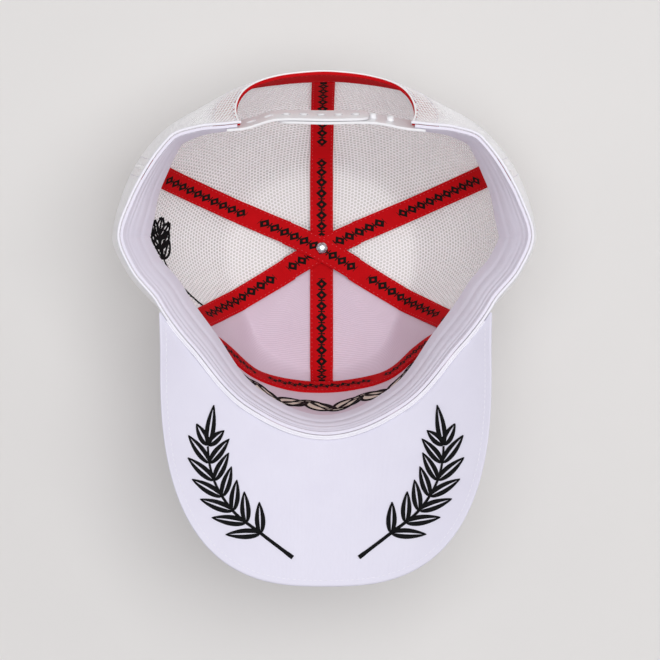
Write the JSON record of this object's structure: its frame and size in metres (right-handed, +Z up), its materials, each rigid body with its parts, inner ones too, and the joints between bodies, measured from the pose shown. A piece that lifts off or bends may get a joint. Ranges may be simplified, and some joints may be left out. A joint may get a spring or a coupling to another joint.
{
  "type": "trucker hat",
  "caption": "Trucker hat with cloth front, net sides and back, curved brim and snap strap, lying on its crown.",
  "frame": {"origin": "centre of the hat's floor plan, on the surface that the crown rests on", "axes": "+Z up out of the head opening, +Y towards the back strap, the brim towards -Y"},
  "size_m": [0.2226, 0.2682, 0.1269],
  "materials": {
    "cloth": "matte white cotton twill",
    "net": "white knitted net",
    "sweatband": "matte white cotton",
    "tape": "red woven ribbon",
    "thread": "black embroidery thread",
    "strap": "milky clear moulded plastic",
    "metal": "polished"
  },
  "bodies": {
    "root": {"front_panel": "cloth", "top_panel_right": "cloth", "top_panel_left": "cloth", "side_mesh_right": "net", "side_mesh_left": "net", "back_mesh_right": "net", "back_mesh_left": "net", "brim": "cloth", "sweatband": "sweatband", "tape_centre": "tape", "tape_front_left": "tape", "tape_front_right": "tape", "tape_front_arch": "tape", "arch_binding": "tape", "strap_with_holes": "strap", "strap_with_pegs": "strap", "rivet": "metal", "top_button": "cloth", "laurel_left": "thread", "laurel_right": "thread"}
  },
  "joints": []
}
